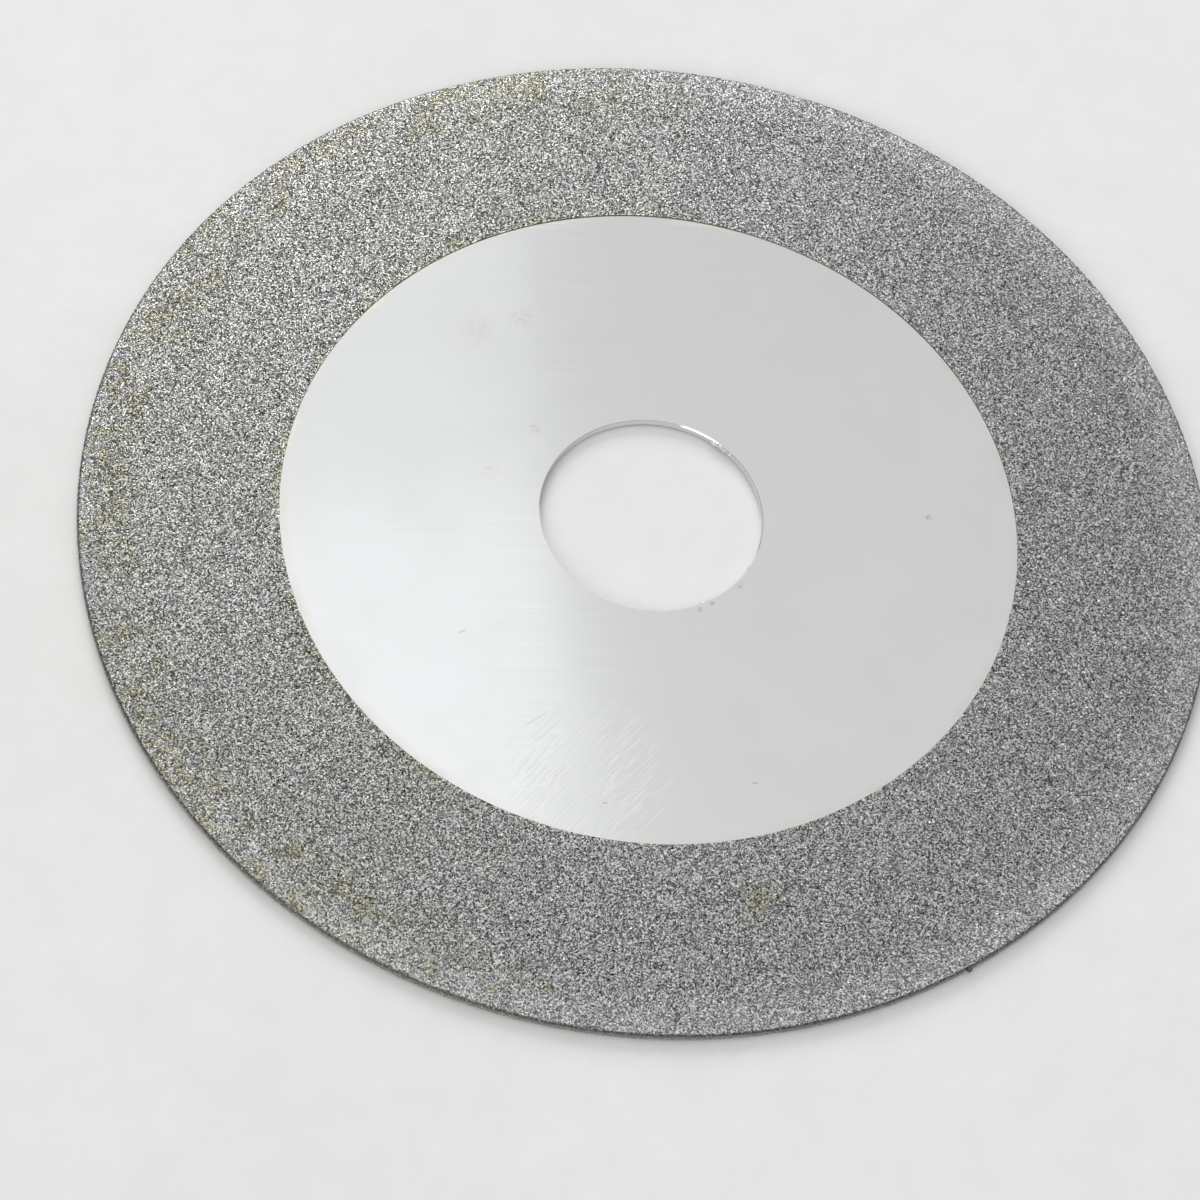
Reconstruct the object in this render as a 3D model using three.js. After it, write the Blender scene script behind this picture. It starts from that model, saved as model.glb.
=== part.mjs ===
// Electroplated diamond grinding wheel of the nominal 4 inch size.
//
// The wheel is a thin flat steel blank with a plain round bore. Its middle is left bare and
// polished, because the spindle's two flanges clamp it there. Diamond crystals cover the outer
// part of both faces and the rim. One nickel deposit holds them: it starts at the band's inner
// edge on the front face, wraps round the rim and ends at the same radius on the back face.
//
// Units are millimetres. +Z runs along the bore axis, out of the front face. The wheel lies on
// its back, and the origin is where the bore axis meets the plane that it rests on.

import * as THREE from "three";

// Driving dimensions
const WHEEL_DIAMETER = 101.6; // over the crystals on the rim
const BORE_DIAMETER = 20;
const BAND_WIDTH = 17.7; // radial width of the plated band on each face
const BLANK_THICKNESS = 0.7;
const NICKEL_THICKNESS = 0.1;
const CRYSTAL_HEIGHT = 0.08; // how far the crystals stand out of the nickel
const BORE_CHAMFER = 0.08; // the bore's two edges are only deburred
const SEGMENTS = 96; // facets round the wheel, the same on every ring so that they fit

// Radii, from the bore outwards
const boreRadius = BORE_DIAMETER / 2;
const wheelRadius = WHEEL_DIAMETER / 2;
const nickelRadius = wheelRadius - CRYSTAL_HEIGHT;
const blankRadius = nickelRadius - NICKEL_THICKNESS;
const bandInnerRadius = wheelRadius - BAND_WIDTH;

// Heights, from the resting plane upwards
const backNickelHeight = CRYSTAL_HEIGHT;
const backBlankHeight = backNickelHeight + NICKEL_THICKNESS;
const frontBlankHeight = backBlankHeight + BLANK_THICKNESS;
const frontNickelHeight = frontBlankHeight + NICKEL_THICKNESS;
const frontCrystalHeight = frontNickelHeight + CRYSTAL_HEIGHT;

const STEEL = { color: 0xd9dcde, roughness: 0.18, metalness: 1.0 };
const NICKEL = { color: 0x8c8a84, roughness: 0.45, metalness: 1.0 };
const DIAMOND = { color: 0x9b9a95, roughness: 0.35, metalness: 0.0 };

// A ring turned about +Z. The section lists [radius, height] corners, anticlockwise as seen
// with the radius to the right and the height upwards.
function ring(name, section, finish) {
  const corners = section.map(([radius, height]) => new THREE.Vector2(radius, height));
  corners.push(corners[0].clone());
  const geometry = new THREE.LatheGeometry(corners, SEGMENTS);
  geometry.rotateX(Math.PI / 2);
  const mesh = new THREE.Mesh(geometry, new THREE.MeshStandardMaterial(finish));
  mesh.name = name;
  return mesh;
}

// A ring with a plain rectangular section.
function band(name, innerRadius, outerRadius, lowHeight, highHeight, finish) {
  const section = [
    [innerRadius, lowHeight],
    [outerRadius, lowHeight],
    [outerRadius, highHeight],
    [innerRadius, highHeight],
  ];
  return ring(name, section, finish);
}

// The blank: stamped and ground sheet steel with a deburred bore. An edge on each flat face
// marks where the bare middle ends and the plated band begins.
function steelBlank() {
  const section = [
    [boreRadius, backBlankHeight + BORE_CHAMFER],
    [boreRadius + BORE_CHAMFER, backBlankHeight],
    [bandInnerRadius, backBlankHeight],
    [blankRadius, backBlankHeight],
    [blankRadius, frontBlankHeight],
    [bandInnerRadius, frontBlankHeight],
    [boreRadius + BORE_CHAMFER, frontBlankHeight],
    [boreRadius, frontBlankHeight - BORE_CHAMFER],
  ];
  return ring("steel_core", section, STEEL);
}

// The nickel: one deposit with a channel section that grips the blank's edge.
function nickelBond() {
  const section = [
    [bandInnerRadius, backNickelHeight],
    [nickelRadius, backNickelHeight],
    [nickelRadius, frontNickelHeight],
    [bandInnerRadius, frontNickelHeight],
    [bandInnerRadius, frontBlankHeight],
    [blankRadius, frontBlankHeight],
    [blankRadius, backBlankHeight],
    [bandInnerRadius, backBlankHeight],
  ];
  return ring("nickel_bond", section, NICKEL);
}

// The crystals: each layer is as thick as the crystals stand out of the nickel, and as wide as
// the surface that they cover.
function frontCrystals() {
  const name = "front_diamond_grit";
  return band(name, bandInnerRadius, nickelRadius, frontNickelHeight, frontCrystalHeight, DIAMOND);
}

function rimCrystals() {
  const name = "rim_diamond_grit";
  return band(name, nickelRadius, wheelRadius, backNickelHeight, frontNickelHeight, DIAMOND);
}

function backCrystals() {
  return band("back_diamond_grit", bandInnerRadius, nickelRadius, 0, backNickelHeight, DIAMOND);
}

const wheel = new THREE.Group();
wheel.add(steelBlank(), nickelBond(), frontCrystals(), rimCrystals(), backCrystals());

export default wheel;
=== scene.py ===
import math

import bmesh
import bpy
import numpy as np
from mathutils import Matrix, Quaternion, Vector


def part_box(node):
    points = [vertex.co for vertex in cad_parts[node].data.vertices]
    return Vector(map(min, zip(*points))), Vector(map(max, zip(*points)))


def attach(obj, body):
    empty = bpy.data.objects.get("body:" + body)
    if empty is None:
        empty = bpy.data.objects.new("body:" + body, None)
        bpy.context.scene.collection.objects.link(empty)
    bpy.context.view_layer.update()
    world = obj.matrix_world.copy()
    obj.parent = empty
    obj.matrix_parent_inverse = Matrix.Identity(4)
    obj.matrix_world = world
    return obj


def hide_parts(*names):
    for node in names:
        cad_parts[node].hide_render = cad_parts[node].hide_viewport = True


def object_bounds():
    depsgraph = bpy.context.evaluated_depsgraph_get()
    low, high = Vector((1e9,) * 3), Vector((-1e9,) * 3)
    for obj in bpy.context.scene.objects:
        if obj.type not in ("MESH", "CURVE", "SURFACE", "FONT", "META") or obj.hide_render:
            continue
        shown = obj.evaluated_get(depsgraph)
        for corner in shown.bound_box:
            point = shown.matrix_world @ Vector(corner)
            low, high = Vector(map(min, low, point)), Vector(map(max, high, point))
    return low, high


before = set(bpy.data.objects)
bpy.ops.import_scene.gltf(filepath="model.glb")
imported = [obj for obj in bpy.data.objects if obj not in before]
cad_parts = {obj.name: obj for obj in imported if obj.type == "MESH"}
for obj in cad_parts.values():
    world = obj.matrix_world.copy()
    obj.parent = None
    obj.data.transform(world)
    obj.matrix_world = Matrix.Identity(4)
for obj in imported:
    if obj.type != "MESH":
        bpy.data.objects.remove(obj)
cad_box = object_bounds()


# Camera. It looks steeply down on the front of the wheel from the near side, through a long lens,
# and is turned a little about its own line of sight.

wheel_low, wheel_high = cad_box
wheel_diameter = wheel_high.x - wheel_low.x
front_height = wheel_high.z

CAMERA_DISTANCE = 3.19 * wheel_diameter
CAMERA_ELEVATION = math.radians(56.9)
CAMERA_ROLL = math.radians(11.2)
CAMERA_AIM = Vector((-0.028 * wheel_diameter, -0.099 * wheel_diameter, front_height))

camera_data = bpy.data.cameras.new("camera")
camera_data.sensor_width = 36
camera_data.lens = 109
camera_data.clip_start = 0.01
camera = bpy.data.objects.new("camera", camera_data)
camera.location = CAMERA_DISTANCE * Vector((0, -math.cos(CAMERA_ELEVATION), math.sin(CAMERA_ELEVATION)))
camera.location.z += front_height
sight = CAMERA_AIM - camera.location
camera.rotation_mode = "QUATERNION"
camera.rotation_quaternion = sight.to_track_quat("-Z", "Y") @ Quaternion((0, 0, 1), CAMERA_ROLL)
bpy.context.scene.collection.objects.link(camera)
bpy.context.scene.camera = camera
bpy.context.scene.view_settings.view_transform = "Standard"


# Floor. One large pale sheet of soft board that the wheel lies on, faintly cloudy and fibrous. Painted
# light makes it a touch paler and cooler towards the right, and painted shade a touch darker far off.

MM = 0.001
FLOOR_SIZE = 4.0
WARM_SHEET = (0.785, 0.785, 0.775, 1)
PALE_SHEET = (0.81, 0.81, 0.805, 1)
# Painted light: the paler, cooler tone of the sheet's right side.
PAINTED_LIGHT_SHEET = (0.82, 0.82, 0.83, 1)
FIBRE_GREY = (0.25, 0.25, 0.23, 1)


def new_object(name, bm):
    """A mesh object at the origin, made from a bmesh."""
    mesh = bpy.data.meshes.new(name)
    bm.to_mesh(mesh)
    bm.free()
    thing = bpy.data.objects.new(name, mesh)
    bpy.context.scene.collection.objects.link(thing)
    return thing


FLAT = (1, 1, 0)


class Finish:
    """A material under construction: its nodes, its main shader and short ways to add to them."""

    def __init__(self, name, metallic, ior=1.5):
        self.material = bpy.data.materials.new(name)
        self.material.use_nodes = True
        self.tree = self.material.node_tree
        self.shader = self.tree.nodes["Principled BSDF"]
        self.shader.inputs["Metallic"].default_value = metallic
        self.shader.inputs["IOR"].default_value = ior
        self.place = self.node("ShaderNodeTexCoord").outputs["Object"]

    def node(self, kind, inputs=None, **settings):
        """A new node. inputs maps a socket's name or number to a value or to another node's output."""
        made = self.tree.nodes.new(kind)
        for key, value in settings.items():
            setattr(made, key, value)
        for key, value in (inputs or {}).items():
            self.set(made.inputs[key], value)
        return made

    def set(self, socket, value):
        """Gives a socket a value, or links another node's output to it."""
        if isinstance(value, bpy.types.NodeSocket):
            self.tree.links.new(value, socket)
        else:
            socket.default_value = value

    def use(self, name, value):
        """Gives the main shader's socket a value or an output."""
        self.set(self.shader.inputs[name], value)

    def math(self, operation, first, second):
        """The sum, product or larger of two numbers, as the operation says."""
        return self.node("ShaderNodeMath", {0: first, 1: second}, operation=operation).outputs[0]

    def product(self, first, second):
        return self.math("MULTIPLY", first, second)

    def vectors(self, operation, first, second):
        """The same for two vectors, axis by axis."""
        return self.node("ShaderNodeVectorMath", {0: first, 1: second}, operation=operation).outputs[0]

    def separated(self):
        """The X, Y and Z of Object coordinates, as a node's outputs."""
        return self.node("ShaderNodeSeparateXYZ", {"Vector": self.place}).outputs

    def length(self, vector):
        return self.node("ShaderNodeVectorMath", {0: vector}, operation="LENGTH").outputs["Value"]

    def stretched(self, scale, turn=0.0, centre=(0, 0, 0)):
        """Object coordinates about a centre, turned about +Z and then scaled along each axis."""
        moved = self.vectors("SUBTRACT", self.place, centre)
        turning = {"Vector": moved, "Angle": -turn}
        turned = self.node("ShaderNodeVectorRotate", turning, rotation_type="Z_AXIS").outputs[0]
        return self.vectors("MULTIPLY", turned, scale)

    def noise(self, size, detail=2.0, roughness=0.5, vector=None):
        """Smooth noise from 0 to 1 whose blobs are about that size across."""
        inputs = {
            "Vector": vector or self.place,
            "Scale": 1 / size,
            "Detail": detail,
            "Roughness": roughness,
        }
        return self.node("ShaderNodeTexNoise", inputs).outputs["Fac"]

    def step(self, value, low, high, low_result=0.0, high_result=1.0):
        """Goes smoothly from one result to the other as the value goes from low to high."""
        inputs = {
            "Value": value,
            "From Min": low,
            "From Max": high,
            "To Min": low_result,
            "To Max": high_result,
        }
        made = self.node("ShaderNodeMapRange", inputs, interpolation_type="SMOOTHSTEP")
        return made.outputs["Result"]

    def blend(self, amount, under, over, mode="MIX"):
        """Two colours mixed by an amount from 0 to 1. The numbers pick the node's colour sockets."""
        made = self.node("ShaderNodeMix", data_type="RGBA", blend_type=mode)
        amount_socket, under_socket, over_socket = made.inputs[0], made.inputs[6], made.inputs[7]
        self.set(amount_socket, amount)
        self.set(under_socket, under)
        self.set(over_socket, over)
        return made.outputs[2]

    def from_axis(self):
        """Distance from the wheel's axis."""
        return self.length(self.vectors("MULTIPLY", self.place, FLAT))

    def from_point(self, point, scale=(1, 1, 1)):
        """Distance from a point, with each axis scaled. FLAT leaves the height out."""
        return self.length(self.stretched(scale, centre=point))

    def bump(self, height, depth, strength=1.0):
        """Small relief. A height of 1 stands out by the depth."""
        inputs = {"Height": height, "Distance": depth, "Strength": strength}
        self.use("Normal", self.node("ShaderNodeBump", inputs).outputs["Normal"])


def grey(level):
    """An even grey, as a colour."""
    return (level, level, level, 1)


floor_bm = bmesh.new()
bmesh.ops.create_grid(floor_bm, x_segments=1, y_segments=1, size=FLOOR_SIZE / 2)
bmesh.ops.translate(floor_bm, verts=floor_bm.verts, vec=(0, 0, wheel_low.z))
floor = new_object("floor", floor_bm)

sheet = Finish("floor_sheet", metallic=0.0)
cloudy = sheet.step(sheet.noise(60 * MM, detail=3), 0.3, 0.7)
sides = sheet.separated()
# Painted light towards the right and painted shade towards the far side, blended into the sheet's tone.
painted_light_right = sheet.step(sides["X"], -wheel_diameter / 2, wheel_diameter * 0.7)
painted_shade_far = sheet.step(sides["Y"], -wheel_diameter / 4, wheel_diameter, 0, 0.01)
fibres = sheet.step(sheet.noise(5 * MM, detail=4, roughness=0.6), 0.3, 0.7, 0, 0.04)
sheet_tone = sheet.blend(cloudy, WARM_SHEET, PALE_SHEET)
sheet_tone = sheet.blend(painted_light_right, sheet_tone, PAINTED_LIGHT_SHEET)
sheet_tone = sheet.blend(painted_shade_far, sheet_tone, grey(0))
sheet.use("Base Color", sheet.blend(fibres, sheet_tone, FIBRE_GREY))
sheet.use("Roughness", 0.7)
sheet.use("Specular IOR Level", 0.2)
sheet.bump(sheet.noise(2.5 * MM, detail=3), 0.15 * MM, 0.6)
floor.data.materials.append(sheet.material)


# Room and lamps. White surroundings, brightest overhead, and two large panels side by side that
# the polished steel mirrors on its left. A soft key lamp behind the wheel makes the crystals
# glint, and a weaker fill lamp in front lights the rim and softens the shadow under it.

ROOM_LOW = 0.42
ROOM_TOP = 0.84
ROOM_BETWEEN = ((0.45, 0.46), (0.80, 0.68), (0.90, 0.74))
PANEL_SIZE = 0.6
PANEL_HEIGHT = 0.8
PANEL_TURN = math.radians(16)
PANEL_EDGE = Vector((-0.036, 0.52, PANEL_HEIGHT))
PANEL_COLOUR = (0.95, 0.98, 1)
NEAR_PANEL_RADIANCE = 0.285
FAR_PANEL_RADIANCE = 0.18
LAMP_SIZE = 0.5
LAMP_COLOUR = (1, 1, 1)
KEY_PLACE = Vector((-0.29, 0.76, 0.46))
KEY_RADIANCE = 5.3
FILL_PLACE = Vector((-0.40, -0.75, 0.45))
FILL_RADIANCE = 3.3

world = bpy.data.worlds.new("white_room")
world.use_nodes = True
room = world.node_tree
direction = room.nodes.new("ShaderNodeTexCoord").outputs["Generated"]
split = room.nodes.new("ShaderNodeSeparateXYZ")
room.links.new(direction, split.inputs[0])
room_tone = room.nodes.new("ShaderNodeValToRGB")
room.links.new(split.outputs["Z"], room_tone.inputs["Fac"])
room_tone.color_ramp.elements[0].color = grey(ROOM_LOW)
room_tone.color_ramp.elements[1].color = grey(ROOM_TOP)
for height, level in ROOM_BETWEEN:
    room_tone.color_ramp.elements.new(height).color = grey(level)
room.links.new(room_tone.outputs["Color"], room.nodes["Background"].inputs["Color"])
bpy.context.scene.world = world


def soft_light(name, centre, aim, size, radiance, colour):
    """A square area light that looks at a point and shows that radiance in a mirror."""
    light_data = bpy.data.lights.new(name, "AREA")
    light_data.shape = "SQUARE"
    light_data.size = size
    light_data.energy = radiance * math.pi * size * size
    light_data.color = colour
    light = bpy.data.objects.new(name, light_data)
    light.location = centre
    light.rotation_mode = "QUATERNION"
    light.rotation_quaternion = (aim - centre).to_track_quat("-Z", "Y")
    bpy.context.scene.collection.objects.link(light)
    return light


# The panels face straight down. They meet at PANEL_EDGE, without overlapping, and lie to its left.
panel_along = Vector((-math.sin(PANEL_TURN), math.cos(PANEL_TURN), 0))
panel_across = Vector((math.cos(PANEL_TURN), math.sin(PANEL_TURN), 0))
panels = (
    ("near_panel", -PANEL_SIZE / 2, NEAR_PANEL_RADIANCE),
    ("far_panel", PANEL_SIZE / 2, FAR_PANEL_RADIANCE),
)
for name, shift, radiance in panels:
    middle = PANEL_EDGE + panel_along * shift - panel_across * PANEL_SIZE / 2
    panel = soft_light(name, middle, middle - Vector((0, 0, 1)), PANEL_SIZE, radiance, PANEL_COLOUR)
    panel.rotation_quaternion = Quaternion((0, 0, 1), PANEL_TURN)
soft_light("key", KEY_PLACE, Vector(), LAMP_SIZE, KEY_RADIANCE, LAMP_COLOUR)
soft_light("fill", FILL_PLACE, Vector(), LAMP_SIZE, FILL_RADIANCE, LAMP_COLOUR)


# Steel blank. Thin sheet steel, stamped round, ground flat and polished bright in the middle.
# Straight grinding lines run across it, and the bore's edges are broken by a small chamfer.

BORE_CHAMFER = 0.08 * MM
MERGE_DISTANCE = 0.0001 * MM


def inner_radius(node):
    """The radius of the hole in a ring-shaped CAD node."""
    return min(vertex.co.xy.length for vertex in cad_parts[node].data.vertices)


def spun_ring(outline, steps):
    """A closed ring, turned about +Z from an outline of (radius, height) points."""
    bm = bmesh.new()
    corners = [bm.verts.new((radius, 0, height)) for radius, height in outline]
    sides = [bm.edges.new(pair) for pair in zip(corners, corners[1:] + corners[:1])]
    bmesh.ops.spin(
        bm, geom=corners + sides, cent=(0, 0, 0), axis=(0, 0, 1), angle=math.tau, steps=steps, use_merge=True
    )
    bmesh.ops.remove_doubles(bm, verts=bm.verts, dist=MERGE_DISTANCE)
    bmesh.ops.recalc_face_normals(bm, faces=bm.faces)
    return bm


blank_low, blank_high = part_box("steel_core")
bore_radius = inner_radius("steel_core")
band_inner = inner_radius("front_diamond_grit")
blank_outline = [
    (bore_radius, blank_low.z + BORE_CHAMFER),
    (bore_radius + BORE_CHAMFER, blank_low.z),
    (band_inner, blank_low.z),
    (blank_high.x, blank_low.z),
    (blank_high.x, blank_high.z),
    (band_inner, blank_high.z),
    (bore_radius + BORE_CHAMFER, blank_high.z),
    (bore_radius, blank_high.z - BORE_CHAMFER),
]
blank = new_object("steel_blank", spun_ring(blank_outline, steps=360))

# Marks on the polished middle. Small olive spots are (x, y, radius, strength) and short dark
# gouges are (x, y, turn, half length, strength), in millimetres and degrees.
SPOTS = (
    (24.5, 5.8, 0.45, 1.0),
    (-11.9, 6.3, 0.8, 0.6),
    (8.9, -5.4, 0.55, 0.6),
    (6.0, -8.75, 0.4, 0.7),
    (6.9, -7.9, 0.35, 0.7),
    (-19, 15.6, 2.4, 0.2),
    (-15.4, 18.0, 1.6, 0.25),
    (-15, 0.9, 1.2, 0.2),
)
GOUGES = (
    (1.3, -29.6, 15, 0.3, 0.6),
    (13.5, -24.7, 20, 0.4, 0.5),
    (-14, -16, 35, 0.5, 0.4),
    (-6.0, -23.0, 48, 1.6, 0.2),
)
GOUGE_HALF_WIDTH = 0.11

# The grinding lines are noise drawn out along one direction, and so are the finer cross
# scratches, which lie in one patch near the coat. The stretches are in cycles per metre.
GRIND_TURN = math.radians(14)
GRIND_STRETCH = (60, 5000, 60)
SCRATCH_TURN = math.radians(60)
SCRATCH_STRETCH = (400, 7000, 400)
SCRATCH_MIDDLE = (-0.5 * MM, -27.5 * MM, 0)
SCRATCH_REACH = 9.5 * MM
SCRATCH_CORE = 3 * MM
HALO_WIDTH = 1.1 * MM

# Heights of the steel's relief, in millimetres.
GRIND_RELIEF = 0.0006
SCRATCH_RELIEF = -0.003
WAVE_RELIEF = 0.03
GOUGE_RELIEF = -0.006

BRIGHT_STEEL = (0.87, 0.875, 0.88, 1)
HAZY_STEEL = (0.845, 0.85, 0.85, 1)
HALO_STEEL = (0.78, 0.775, 0.70, 1)
SPOT_OLIVE = (0.62, 0.60, 0.47, 1)
GOUGE_GREY = grey(0.42)


def strongest(finish, masks):
    """The strongest of several masks."""
    result = masks[0]
    for mask in masks[1:]:
        result = finish.math("MAXIMUM", result, mask)
    return result


steel = Finish("polished_steel", metallic=1.0)
grind_lines = steel.noise(1.0, detail=3, roughness=0.6, vector=steel.stretched(GRIND_STRETCH, GRIND_TURN))
cross_lines = steel.noise(1.0, detail=2, vector=steel.stretched(SCRATCH_STRETCH, SCRATCH_TURN))
scratched = steel.step(steel.from_point(SCRATCH_MIDDLE), SCRATCH_REACH, SCRATCH_CORE)
scratches = steel.product(steel.step(cross_lines, 0.52, 0.7), scratched)
haze = steel.step(steel.noise(9 * MM, detail=4), 0.45, 0.7)
beside_coat = steel.step(steel.from_axis(), band_inner - HALO_WIDTH, band_inner)
halo = steel.product(beside_coat, steel.step(steel.noise(7 * MM, detail=3), 0.4, 0.7, 0.15, 1))
spots = [
    steel.step(steel.from_point((x * MM, y * MM, 0), FLAT), radius * MM, 0.2 * radius * MM, 0, strength)
    for x, y, radius, strength in SPOTS
]
crumbly = steel.step(steel.noise(0.5 * MM, detail=3), 0.4, 0.6, 0.2, 1)
spots = steel.product(strongest(steel, spots), crumbly)
gouges = []
for x, y, turn, half_length, strength in GOUGES:
    squeeze = (1 / half_length, 1 / GOUGE_HALF_WIDTH, 0)
    reach = steel.length(steel.stretched(squeeze, math.radians(turn), (x * MM, y * MM, 0)))
    gouges.append(steel.step(reach, MM, 0.4 * MM, 0, strength))
gouges = strongest(steel, gouges)

steel_tone = steel.blend(haze, BRIGHT_STEEL, HAZY_STEEL)
steel_tone = steel.blend(halo, steel_tone, HALO_STEEL)
steel_tone = steel.blend(spots, steel_tone, SPOT_OLIVE)
steel.use("Base Color", steel.blend(gouges, steel_tone, GOUGE_GREY))
dull = steel.math("ADD", steel.product(haze, 0.03), steel.product(halo, 0.12))
lined = steel.math("ADD", steel.step(grind_lines, 0.3, 0.7, 0.075, 0.115), steel.product(scratches, 0.1))
steel.use("Roughness", steel.math("ADD", dull, lined))
relief = steel.product(grind_lines, GRIND_RELIEF)
relief = steel.math("ADD", relief, steel.product(scratches, SCRATCH_RELIEF))
relief = steel.math("ADD", relief, steel.product(steel.noise(22 * MM, detail=1), WAVE_RELIEF))
relief = steel.math("ADD", relief, steel.product(gouges, GOUGE_RELIEF))
steel.bump(relief, MM)
blank.data.materials.append(steel.material)
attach(blank, "root")
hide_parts("steel_core")


# Burrs in the bore. Crumbs of steel that the punch left along the front edge of the hole. Each
# group is (angle in degrees, half spread in degrees, number of crumbs, largest radius in mm).

BURRS = (
    (61, 6.5, 15, 0.30),
    (-19, 2.5, 3, 0.10),
    (-52, 5.0, 6, 0.09),
    (-110.6, 1.2, 2, 0.12),
    (104, 3, 3, 0.06),
)
burr_chance = np.random.default_rng(7)
burr_bm = bmesh.new()
for middle, spread, count, largest in BURRS:
    for angle in np.radians(middle + burr_chance.uniform(-spread, spread, count)):
        radius = largest * MM * burr_chance.uniform(0.5, 1.0)
        depth = bore_radius - 0.1 * radius
        spot = Vector((depth * math.cos(angle), depth * math.sin(angle), blank_high.z - 0.75 * radius))
        crumb = bmesh.ops.create_icosphere(burr_bm, subdivisions=1, radius=radius)["verts"]
        for vertex in crumb:
            vertex.co = spot + vertex.co * burr_chance.uniform(0.7, 1.1)
burrs = new_object("bore_burrs", burr_bm)
burrs.data.materials.append(steel.material)
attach(burrs, "root")
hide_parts("steel_core")


# Nickel. One electroplated deposit over the outer band of both faces and round the rim. It is
# satin and finely knobbly, brighter near the rim, and stained olive in patches.

RIM_ROUND = 0.2 * MM
nickel_low, nickel_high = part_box("nickel_bond")
nickel_radius = nickel_high.x
nickel_outline = [
    (band_inner, nickel_low.z),
    (nickel_radius, nickel_low.z),
    (nickel_radius, nickel_high.z),
    (band_inner, nickel_high.z),
    (band_inner, blank_high.z),
    (blank_high.x - RIM_ROUND, blank_high.z),
    (blank_high.x - RIM_ROUND, blank_low.z),
    (band_inner, blank_low.z),
]
nickel_bm = spun_ring(nickel_outline, steps=360)
rim_edges = [
    edge
    for edge in nickel_bm.edges
    if all(vertex.co.xy.length > nickel_radius - 0.01 * MM for vertex in edge.verts)
    and abs(edge.verts[0].co.z - edge.verts[1].co.z) < 0.01 * MM
]
bmesh.ops.bevel(
    nickel_bm, geom=rim_edges, offset=RIM_ROUND, segments=5, profile=0.5, affect="EDGES", material=-1
)
nickel = new_object("nickel_deposit", nickel_bm)

# Single stains on the band are (x, y, radius) in millimetres.
STAINS = (
    (-21.8, -44.7, 3.0),
    (-26.3, -43.0, 2.5),
    (-10.6, -48.5, 2.5),
    (-4.3, -49.3, 1.4),
    (-2.7, -47.2, 1.2),
    (0, -47.6, 1.2),
    (15.6, -35.7, 2.5),
    (-36.7, 32.2, 3.0),
)
FROST = (0.5, 0.5, 0.53, 1)
OUTER_GAIN = (1.16, 1.16, 1.175, 1)
OLIVE = (0.80, 0.785, 0.57, 1)
BLUE_TINT = (0.38, 0.375, 0.48, 1)
# Painted shade: the dark step at the band's inner edge, the dark line along the rim, and, together with some
# dirt, the brown rim wall.
STEP_SHADE = (0.14, 0.135, 0.115, 1)
RIM_LINE_SHADE = (0.06, 0.057, 0.05, 1)
RIM_WALL_SHADE_AND_DIRT = (0.33, 0.315, 0.275, 1)
TINT_MIDDLE = (-50 * MM, -8 * MM, 0)


def brighter_outside(finish, colour, radius, across):
    """The coat's outer 5 mm, which is lighter and a little frosted, but less so at the far left."""
    outer_zone = finish.step(radius, nickel_radius - 5 * MM, nickel_radius - 0.6 * MM)
    outer_zone = finish.product(outer_zone, finish.step(across, -46 * MM, -20 * MM, 0.25, 1))
    colour = finish.blend(finish.product(outer_zone, 0.12), colour, FROST)
    return finish.blend(outer_zone, colour, OUTER_GAIN, mode="MULTIPLY")


def stained(finish, colour, radius, across):
    """Olive flecks in single stains, and in clumps over the left half, most of them by the band's edges."""
    stains = [
        finish.step(finish.from_point((x * MM, y * MM, 0), FLAT), size * MM, 0.2 * size * MM)
        for x, y, size in STAINS
    ]
    left_half = finish.step(across, 2 * MM, -18 * MM)
    outer_ring = finish.step(radius, nickel_radius - 6.5 * MM, nickel_radius - 3.5 * MM, 0.3, 1)
    inner_ring = finish.step(radius, band_inner + 1.8 * MM, band_inner + 0.5 * MM)
    rings = finish.math("MAXIMUM", outer_ring, inner_ring)
    clumps = finish.step(finish.noise(3.5 * MM, detail=2), 0.4, 0.6, 0.3, 1)
    stains.append(finish.product(finish.product(left_half, rings), clumps))
    flecks = finish.step(finish.noise(0.7 * MM, detail=4, roughness=0.6), 0.42, 0.6, 0.2, 1)
    amount = finish.product(strongest(finish, stains), flecks)
    return finish.blend(amount, colour, OLIVE, mode="MULTIPLY")


def tinted(finish, colour, radius):
    """Bluish flecks beside the rim, at the far left."""
    leftmost = finish.step(finish.from_point(TINT_MIDDLE, FLAT), 20 * MM, 10 * MM)
    beside_rim = finish.step(radius, nickel_radius - 1.8 * MM, nickel_radius - MM)
    mottled = finish.step(finish.noise(0.6 * MM, detail=3), 0.51, 0.62, 0.0, 0.55)
    return finish.blend(finish.product(finish.product(leftmost, beside_rim), mottled), colour, BLUE_TINT)


def shaded_and_dirty_edges(finish, colour, radius, height):
    """Painted shade in the step at the band's inner edge and as a dark line along the rim, and a brown wall
    below it that is partly dirt and partly painted shade.
    """
    step_shade = finish.step(radius, band_inner + 0.03 * MM, band_inner + 0.005 * MM, 0, 0.85)
    colour = finish.blend(step_shade, colour, STEP_SHADE)
    # Painted shade: a dark line along the rounded rim.
    edge = finish.step(radius, nickel_radius - 0.2 * MM, nickel_radius - 0.05 * MM, 0, 0.85)
    colour = finish.blend(edge, colour, RIM_LINE_SHADE)
    below_line = finish.step(height, nickel_high.z - 0.15 * MM, nickel_high.z - 0.4 * MM)
    return finish.blend(finish.product(edge, below_line), colour, RIM_WALL_SHADE_AND_DIRT)


def weathered_and_shaded(finish, clean):
    """The band's colour with its brighter outer zone, stains, bluish flecks, and edges darkened by painted
    shade and some dirt.
    """
    radius = finish.from_axis()
    sides = finish.separated()
    colour = brighter_outside(finish, clean, radius, sides["X"])
    colour = stained(finish, colour, radius, sides["X"])
    colour = tinted(finish, colour, radius)
    return shaded_and_dirty_edges(finish, colour, radius, sides["Z"])


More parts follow.
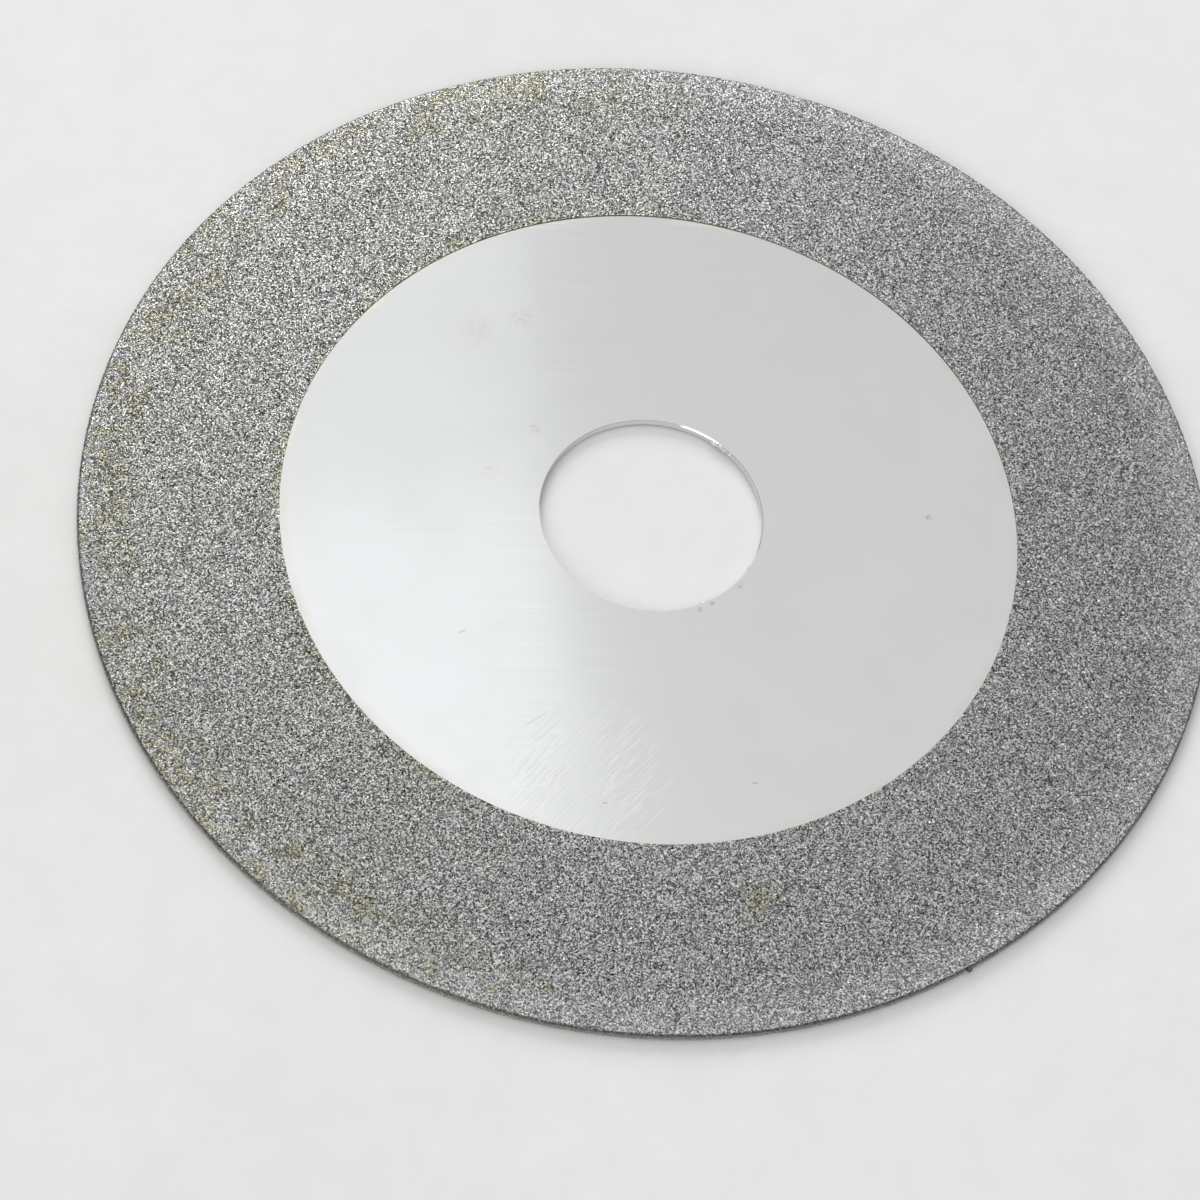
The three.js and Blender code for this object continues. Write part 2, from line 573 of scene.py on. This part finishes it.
NODULE_SIZE = 0.11 * MM
PIT_SHADE_NICKEL = (0.02, 0.02, 0.019, 1)
BRIGHT_NICKEL = (0.64, 0.635, 0.62, 1)

plate = Finish("nickel_plate", metallic=1.0)
# Each knob gets its own grey, from near black to bright nickel: partly the knobs' own tone, partly painted
# shade in dark pits and painted glints.
nodules = plate.node("ShaderNodeTexVoronoi", {"Vector": plate.place, "Scale": 1 / NODULE_SIZE})
nodule_shade = plate.node("ShaderNodeSeparateColor", {"Color": nodules.outputs["Color"]}).outputs["Red"]
speckle_with_painted_light = plate.blend(plate.step(nodule_shade, 0.1, 0.95), PIT_SHADE_NICKEL, BRIGHT_NICKEL)
plate.use("Base Color", weathered_and_shaded(plate, speckle_with_painted_light))
plate.use("Roughness", plate.step(nodule_shade, 0.2, 0.8, 0.42, 0.3))
plate.bump(nodules.outputs["Distance"], -0.03 * MM, 0.6)
nickel.data.materials.append(plate.material)
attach(nickel, "root")
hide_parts("nickel_bond")


# Nib on the rim. A small brown lump of plating, left at the edge where the wheel touched its
# holder in the bath.

NIB_ANGLE = math.radians(-48)
NIB_RADIUS = 0.32 * MM
DARK_BROWN = (0.06, 0.05, 0.035, 1)
LIGHT_BROWN = (0.17, 0.15, 0.11, 1)
nib_middle = Vector((math.cos(NIB_ANGLE), math.sin(NIB_ANGLE), 0)) * wheel_high.x
nib_middle.z = nickel_high.z - 0.8 * NIB_RADIUS
nib_bm = bmesh.new()
nib_chance = np.random.default_rng(3)
for vertex in bmesh.ops.create_icosphere(nib_bm, subdivisions=2, radius=NIB_RADIUS)["verts"]:
    vertex.co = nib_middle + vertex.co * nib_chance.uniform(0.7, 1.05)
nib = new_object("rim_nib", nib_bm)
burnt = Finish("burnt_plating", metallic=0.4)
burnt_spots = burnt.step(burnt.noise(0.15 * MM, detail=3), 0.35, 0.65)
burnt.use("Base Color", burnt.blend(burnt_spots, DARK_BROWN, LIGHT_BROWN))
burnt.use("Roughness", burnt.step(burnt_spots, 0, 1, 0.5, 0.7))
burnt.bump(burnt_spots, 0.02 * MM, 0.6)
nib.data.materials.append(burnt.material)
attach(nib, "root")
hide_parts("nickel_bond")


# Diamond crystals. Blocky grains of 80 to 100 mesh, held by nickel that grew up round them, so that
# only the top quarter or so of each stands out. They cover both bands and the rounded rim. Each is
# a six-sided block pulled out of shape, with its own turn and size, and its facets' greys are partly
# the grains' own tone and partly painted glints and painted shade.

CRYSTAL_SIZE = 0.16 * MM
FRONT_PITCH = 0.215 * MM
BACK_PITCH = 0.3 * MM
BARE_EDGE = 0.08 * MM
SECTORS = 8
GOLDEN_ANGLE = math.pi * (3 - math.sqrt(5))
crystal_height = wheel_high.z - nickel_high.z
front_run = nickel_radius - RIM_ROUND - band_inner
corner_run = RIM_ROUND * math.pi / 2
wall_run = nickel_high.z - nickel_low.z - 2 * RIM_ROUND
whole_run = 2 * front_run + 2 * corner_run + wall_run


def nickel_surface(run):
    """Radius, height and tilt of the nickel, that far along its surface from the front band's inner edge."""
    first_corner = np.clip(run - front_run, 0, corner_run)
    wall = np.clip(run - front_run - corner_run, 0, wall_run)
    second_corner = np.clip(run - front_run - corner_run - wall_run, 0, corner_run)
    back = np.clip(run - front_run - 2 * corner_run - wall_run, 0, front_run)
    tilt = (first_corner + second_corner) / RIM_ROUND
    radius = band_inner + np.minimum(run, front_run) - back + RIM_ROUND * np.sin(tilt)
    height = nickel_high.z - RIM_ROUND - wall + RIM_ROUND * np.cos(tilt)
    return radius, height, tilt


def scatter(start, end, pitch, chance):
    """Runs and turns of crystals spread evenly, but not regularly, over a stretch of the nickel."""
    edges = np.linspace(start, end, 400)
    middles = (edges[1:] + edges[:-1]) / 2
    areas = np.concatenate([[0], np.cumsum(math.tau * nickel_surface(middles)[0] * np.diff(edges))])
    count = int(areas[-1] / pitch**2)
    runs = np.interp((np.arange(count) + 0.5) / count * areas[-1], areas, edges)
    turns = np.arange(count) * GOLDEN_ANGLE
    jitter = 0.45 * pitch
    runs = np.clip(runs + chance.uniform(-jitter, jitter, count), start, end)
    turns = turns + chance.uniform(-jitter, jitter, count) / nickel_surface(runs)[0]
    return runs, turns % math.tau


def turned_at_random(count, chance):
    """One random turning matrix for each crystal."""
    quaternions = chance.normal(size=(4, count))
    w, x, y, z = quaternions / np.linalg.norm(quaternions, axis=0)
    rows = [
        [1 - 2 * (y * y + z * z), 2 * (x * y - z * w), 2 * (x * z + y * w)],
        [2 * (x * y + z * w), 1 - 2 * (x * x + z * z), 2 * (y * z - x * w)],
        [2 * (x * z - y * w), 2 * (y * z + x * w), 1 - 2 * (x * x + y * y)],
    ]
    return np.array(rows).transpose(2, 0, 1)


def many_blocks(name, count):
    """A piece of that many unit cubes, all at the origin. They are doubled until there are enough."""
    bm = bmesh.new()
    bmesh.ops.create_cube(bm, size=1)
    corners, sides, faces = len(bm.verts), len(bm.edges), len(bm.faces)
    while len(bm.faces) < faces * count:
        for part in (bm.verts, bm.edges, bm.faces):
            part.ensure_lookup_table()
        wanted = min(count - len(bm.faces) // faces, len(bm.faces) // faces)
        original = bm.verts[: wanted * corners] + bm.edges[: wanted * sides] + bm.faces[: wanted * faces]
        bmesh.ops.duplicate(bm, geom=original)
    return new_object(name, bm)


def grown(blocks, chance):
    """The blocks' corners, each block drawn out, pulled out of shape, sized and turned by chance."""
    count = len(blocks)
    blocks = blocks * chance.uniform(0.75, 1.3, (count, 1, 3))
    blocks = blocks + chance.uniform(-0.13, 0.13, blocks.shape)
    blocks = blocks * CRYSTAL_SIZE * chance.uniform(0.8, 1.15, (count, 1, 1))
    blocks = np.einsum("nij,nvj->nvi", turned_at_random(count, chance), blocks)
    stand_out = crystal_height * chance.uniform(0.6, 1.0, (count, 1))
    blocks[:, :, 2] += stand_out - blocks[:, :, 2].max(axis=1, keepdims=True)
    return blocks


def set_in_nickel(blocks, runs, turns):
    """The blocks' corners, each block moved to its place and stood on the nickel's surface."""
    radius, height, tilt = nickel_surface(runs)
    outward = np.stack([np.cos(turns), np.sin(turns), 0 * turns], axis=1)
    along = np.stack([-np.sin(turns), np.cos(turns), 0 * turns], axis=1)
    up = np.array([[0, 0, 1.0]])
    normal = outward * np.sin(tilt)[:, None] + up * np.cos(tilt)[:, None]
    across = np.cross(normal, along)
    spot = outward * radius[:, None] + up * height[:, None]
    local = np.stack([along, across, normal], axis=1)
    blocks = np.einsum("nvj,nji->nvi", blocks, local) + spot[:, None, :]
    blocks[:, :, 2] = blocks[:, :, 2].clip(wheel_low.z, wheel_high.z)
    reach = np.linalg.norm(blocks[:, :, :2], axis=2, keepdims=True)
    blocks[:, :, :2] *= np.minimum(1, 0.9999 * wheel_high.x / reach)
    return blocks


def crystals(name, runs, turns, chance):
    """A piece of many crystals, one at each place on the nickel, with a random grey on each facet that is
    partly painted glints and shade.
    """
    piece = many_blocks(name, len(runs))
    corners = np.empty(len(piece.data.vertices) * 3)
    piece.data.vertices.foreach_get("co", corners)
    blocks = grown(corners.reshape(len(runs), -1, 3), chance)
    piece.data.vertices.foreach_set("co", set_in_nickel(blocks, runs, turns).ravel())
    piece.data.update()
    # A random grey for each facet: partly the grain's own tone, partly painted glints and painted shade.
    facet_tone_and_glint = piece.data.attributes.new("facet_tone_and_glint", "FLOAT", "FACE")
    facet_tone_and_glint.data.foreach_set("value", chance.random(len(piece.data.polygons)).astype(np.float32))
    return piece


# Most facets are dark, as painted shade, and a few nearly white, as painted glints, besides the grains' own
# tones. Pairs are (attribute value, grey level) between the ends.
DARKEST_FACET = 0.004
BRIGHTEST_FACET = 0.85
FACETS_BETWEEN = ((0.3, 0.03), (0.6, 0.17), (0.85, 0.47))

grit = Finish("diamond_crystals", metallic=0.0, ior=2.0)
facet_tone_and_glint = grit.node("ShaderNodeAttribute", attribute_name="facet_tone_and_glint").outputs["Fac"]
painted_facet_tone = grit.node("ShaderNodeValToRGB", {"Fac": facet_tone_and_glint})
painted_facet_tone.color_ramp.elements[0].color = grey(DARKEST_FACET)
painted_facet_tone.color_ramp.elements[1].color = grey(BRIGHTEST_FACET)
for position, level in FACETS_BETWEEN:
    painted_facet_tone.color_ramp.elements.new(position).color = grey(level)
grit.use("Base Color", weathered_and_shaded(grit, painted_facet_tone.outputs["Color"]))
grit.use("Roughness", grit.step(grit.noise(0.1 * MM), 0.3, 0.7, 0.28, 0.42))
grit.bump(grit.noise(0.05 * MM), 0.004 * MM, 0.5)

# The rim's crystals start and end halfway round its corners. The bands are kept in sectors, so
# that no piece is too heavy.
rim_start = front_run + corner_run / 2
rim_end = whole_run - rim_start
regions = (
    ("front_crystals", "front_diamond_grit", BARE_EDGE, rim_start, FRONT_PITCH, SECTORS),
    ("rim_crystals", "rim_diamond_grit", rim_start, rim_end, FRONT_PITCH, 1),
    ("back_crystals", "back_diamond_grit", rim_end, whole_run - BARE_EDGE, BACK_PITCH, SECTORS),
)
chance = np.random.default_rng(4)
for name, node, start, end, pitch, sectors in regions:
    runs, turns = scatter(start, end, pitch, chance)
    sector_of = np.floor(turns / math.tau * sectors).astype(int)
    for sector in range(sectors):
        inside = sector_of == sector
        piece_name = name if sectors == 1 else f"{name}_{sector + 1}"
        piece = crystals(piece_name, runs[inside], turns[inside], chance)
        piece.data.materials.append(grit.material)
        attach(piece, "root")
        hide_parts(node)
